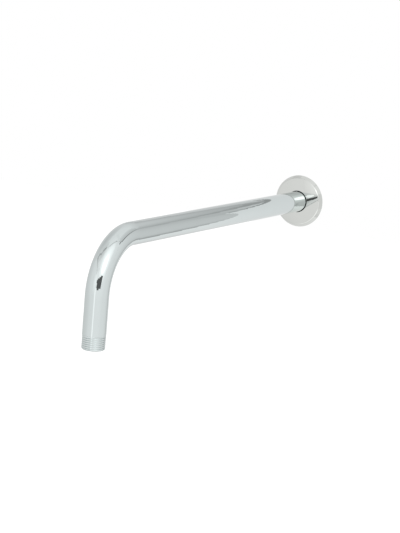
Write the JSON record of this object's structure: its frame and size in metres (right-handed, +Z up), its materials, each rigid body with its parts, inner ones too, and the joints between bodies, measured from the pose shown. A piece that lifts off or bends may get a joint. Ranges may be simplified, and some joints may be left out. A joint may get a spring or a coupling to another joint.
{
  "type": "shower arm",
  "caption": "Wall shower arm: a round chromed tube that runs out from the wall and bends down, threaded at each end, with a round, slightly domed wall flange that slides on it.",
  "frame": {"origin": "on the arm's axis in the plane of the wall, where the wall thread begins", "axes": "+Y into the wall along the arm, -Z down along the drop to the outlet, +Z up, +X to the right as seen facing the wall"},
  "size_m": [0.054, 0.4307, 0.124],
  "materials": {
    "chromed_brass": "polished",
    "seal_rubber": "matt"
  },
  "bodies": {
    "arm": {"arm_tube": "chromed_brass"},
    "seal": {"flange_seal": "seal_rubber"},
    "flange": {"wall_flange": "chromed_brass"}
  },
  "joints": [
    {"name": "flange_slide", "type": "slide", "parent": "arm", "child": "seal", "axis": [0, -1, 0], "range_m": [0, 0.34]},
    {"name": "flange_turn", "type": "hinge", "parent": "seal", "child": "flange", "pos_m": [0, 0, 0], "axis": [0, -1, 0], "continuous": true}
  ]
}
